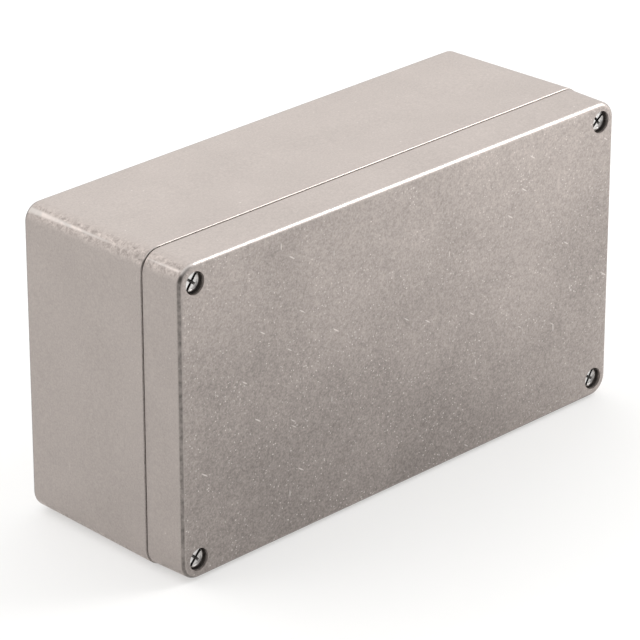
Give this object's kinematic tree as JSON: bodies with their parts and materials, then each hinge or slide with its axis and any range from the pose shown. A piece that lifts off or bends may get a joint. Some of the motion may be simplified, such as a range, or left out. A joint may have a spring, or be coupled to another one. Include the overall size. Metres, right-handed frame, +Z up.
{
  "type": "die cast aluminium enclosure",
  "caption": "Rectangular die-cast aluminium box for wall mounting: a deep drafted base and a shallow lid that meet on a sealed joint and close with recessed captive corner screws.",
  "frame": {"origin": "under the middle of the box's overall size, on the surface it stands on", "axes": "+X along the length, +Z up across the width, the lid faces -Y and the mounting face looks along +Y"},
  "size_m": [0.22, 0.08, 0.12],
  "materials": {
    "cast_aluminium": "bare casting, tumbled to a fine-grained satin with small nicks",
    "stainless_screw": "bright turned stainless steel",
    "gasket_rubber": "matt moulded rubber",
    "nylon": "natural nylon",
    "plated_steel": "zinc plated, faintly yellow"
  },
  "bodies": {
    "base": {"base_casting": "cast_aluminium", "base_earth_screw": "plated_steel", "base_earth_spring_washer": "plated_steel", "base_earth_cup_washer": "plated_steel"},
    "lid": {"lid_casting": "cast_aluminium", "lid_gasket": "gasket_rubber", "lid_earth_screw": "plated_steel", "lid_earth_spring_washer": "plated_steel", "lid_earth_cup_washer": "plated_steel"},
    "retainer_top_left": {"screw_retainer_top_left": "nylon"},
    "screw_top_left": {"lid_screw_top_left": "stainless_screw"},
    "retainer_top_right": {"screw_retainer_top_right": "nylon"},
    "screw_top_right": {"lid_screw_top_right": "stainless_screw"},
    "retainer_bottom_left": {"screw_retainer_bottom_left": "nylon"},
    "screw_bottom_left": {"lid_screw_bottom_left": "stainless_screw"},
    "retainer_bottom_right": {"screw_retainer_bottom_right": "nylon"},
    "screw_bottom_right": {"lid_screw_bottom_right": "stainless_screw"}
  },
  "joints": [
    {"name": "lid_lift", "type": "slide", "parent": "base", "child": "lid", "axis": [0, -1, 0], "range_m": [0, 0.1]},
    {"name": "draw_top_left", "type": "slide", "parent": "lid", "child": "retainer_top_left", "axis": [0, -1, 0], "range_m": [0, 0.00875]},
    {"name": "turn_top_left", "type": "hinge", "parent": "retainer_top_left", "child": "screw_top_left", "pos_m": [-0.102, -0.022, 0.112], "axis": [0, -1, 0], "range_deg": [0, 4500]},
    {"name": "draw_top_right", "type": "slide", "parent": "lid", "child": "retainer_top_right", "axis": [0, -1, 0], "range_m": [0, 0.00875]},
    {"name": "turn_top_right", "type": "hinge", "parent": "retainer_top_right", "child": "screw_top_right", "pos_m": [0.102, -0.022, 0.112], "axis": [0, -1, 0], "range_deg": [0, 4500]},
    {"name": "draw_bottom_left", "type": "slide", "parent": "lid", "child": "retainer_bottom_left", "axis": [0, -1, 0], "range_m": [0, 0.00875]},
    {"name": "turn_bottom_left", "type": "hinge", "parent": "retainer_bottom_left", "child": "screw_bottom_left", "pos_m": [-0.102, -0.022, 0.008], "axis": [0, -1, 0], "range_deg": [0, 4500]},
    {"name": "draw_bottom_right", "type": "slide", "parent": "lid", "child": "retainer_bottom_right", "axis": [0, -1, 0], "range_m": [0, 0.00875]},
    {"name": "turn_bottom_right", "type": "hinge", "parent": "retainer_bottom_right", "child": "screw_bottom_right", "pos_m": [0.102, -0.022, 0.008], "axis": [0, -1, 0], "range_deg": [0, 4500]}
  ],
  "couplings": [
    {"joint": "turn_top_left", "follows": "draw_top_left", "rad_per_m": 8975.9},
    {"joint": "turn_top_right", "follows": "draw_top_right", "rad_per_m": 8975.9},
    {"joint": "turn_bottom_left", "follows": "draw_bottom_left", "rad_per_m": 8975.9},
    {"joint": "turn_bottom_right", "follows": "draw_bottom_right", "rad_per_m": 8975.9}
  ]
}
